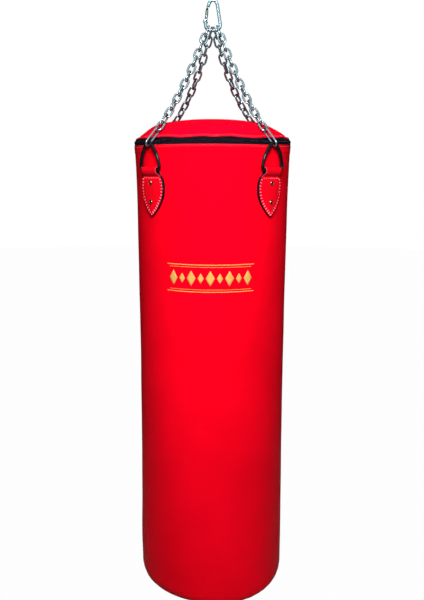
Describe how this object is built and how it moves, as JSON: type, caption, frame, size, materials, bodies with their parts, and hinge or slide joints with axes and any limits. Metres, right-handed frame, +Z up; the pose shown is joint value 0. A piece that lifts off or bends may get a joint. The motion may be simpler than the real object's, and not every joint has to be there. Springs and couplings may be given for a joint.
{
  "type": "hanging heavy bag",
  "caption": "Cylindrical red heavy bag with a domed zipped lid, hung by chains from D-rings on hanger tabs to one pear-shaped spring-snap carabiner.",
  "frame": {"origin": "the carabiner's inner top, where the support hook seats", "axes": "+Z up along the bag, -Y the bag's front with the bare badge side, +X to the viewer's right; the carabiner lies in the XZ plane with its gate at -X"},
  "size_m": [0.4042, 0.4107, 1.5595],
  "materials": {
    "red_vinyl": "satin pebbled vinyl",
    "red_strap": "satin folded vinyl strap",
    "black_tape": "woven zip tape",
    "zip_teeth": "moulded nylon coil",
    "black_steel": "polished black plating",
    "zinc_chain": "bright zinc plated, light wear",
    "zinc_hardware": "bright zinc plated",
    "antique_rivet": "dark antique plating",
    "spring_steel": "drawn spring wire",
    "foam": "closed-cell foam",
    "filling": "packed shredded textile"
  },
  "bodies": {
    "carabiner": {"carabiner_body": "zinc_hardware", "gate_pivot_pin": "zinc_hardware"},
    "gate": {"carabiner_gate": "zinc_hardware", "gate_latch_pin": "zinc_hardware", "gate_spring": "spring_steel"},
    "bag": {"top_link_front_left": "zinc_chain", "chain_run_front_left": "zinc_chain", "chain_connector_front_left": "zinc_chain", "d_ring_front_left": "black_steel", "hanger_strap_front_left": "red_strap", "hanger_patch_front_left": "red_vinyl", "rivet_front_left_upper": "antique_rivet", "rivet_front_left_lower": "antique_rivet", "top_link_front_right": "zinc_chain", "chain_run_front_right": "zinc_chain", "chain_connector_front_right": "zinc_chain", "d_ring_front_right": "black_steel", "hanger_strap_front_right": "red_strap", "hanger_patch_front_right": "red_vinyl", "rivet_front_right_upper": "antique_rivet", "rivet_front_right_lower": "antique_rivet", "top_link_rear_right": "zinc_chain", "chain_run_rear_right": "zinc_chain", "chain_connector_rear_right": "zinc_chain", "d_ring_rear_right": "black_steel", "hanger_strap_rear_right": "red_strap", "hanger_patch_rear_right": "red_vinyl", "rivet_rear_right_upper": "antique_rivet", "rivet_rear_right_lower": "antique_rivet", "top_link_rear_left": "zinc_chain", "chain_run_rear_left": "zinc_chain", "chain_connector_rear_left": "zinc_chain", "d_ring_rear_left": "black_steel", "hanger_strap_rear_left": "red_strap", "hanger_patch_rear_left": "red_vinyl", "rivet_rear_left_upper": "antique_rivet", "rivet_rear_left_lower": "antique_rivet", "bag_shell": "red_vinyl", "base_panel": "red_vinyl", "foam_liner": "foam", "filling": "filling", "top_pad": "foam", "lid_cover": "red_vinyl", "zip_tape_lower": "black_tape", "zip_tape_upper": "black_tape", "zip_coil": "zip_teeth", "zip_end_tab": "black_tape"},
    "slider": {"zip_slider": "black_steel"},
    "pull": {"zip_pull": "black_steel"}
  },
  "joints": [
    {"name": "bag_swing", "type": "hinge", "parent": "carabiner", "child": "bag", "pos_m": [0, 0, -0.0672], "axis": [1, 0, 0], "range_deg": [-10, 10]},
    {"name": "gate_open", "type": "hinge", "parent": "carabiner", "child": "gate", "pos_m": [-0.0148, 0, -0.018], "axis": [0, -1, 0], "range_deg": [0, 28], "stiffness_Nm_per_rad": 0.12, "springref_deg": -20.05},
    {"name": "zip_slide", "type": "hinge", "parent": "bag", "child": "slider", "pos_m": [0, 0, -0.3427], "axis": [0, 0, 1], "range_deg": [-30, 0]},
    {"name": "pull_flip", "type": "hinge", "parent": "slider", "child": "pull", "pos_m": [0, 0.2065, -0.3444], "axis": [1, 0, 0], "range_deg": [0, 140]}
  ]
}
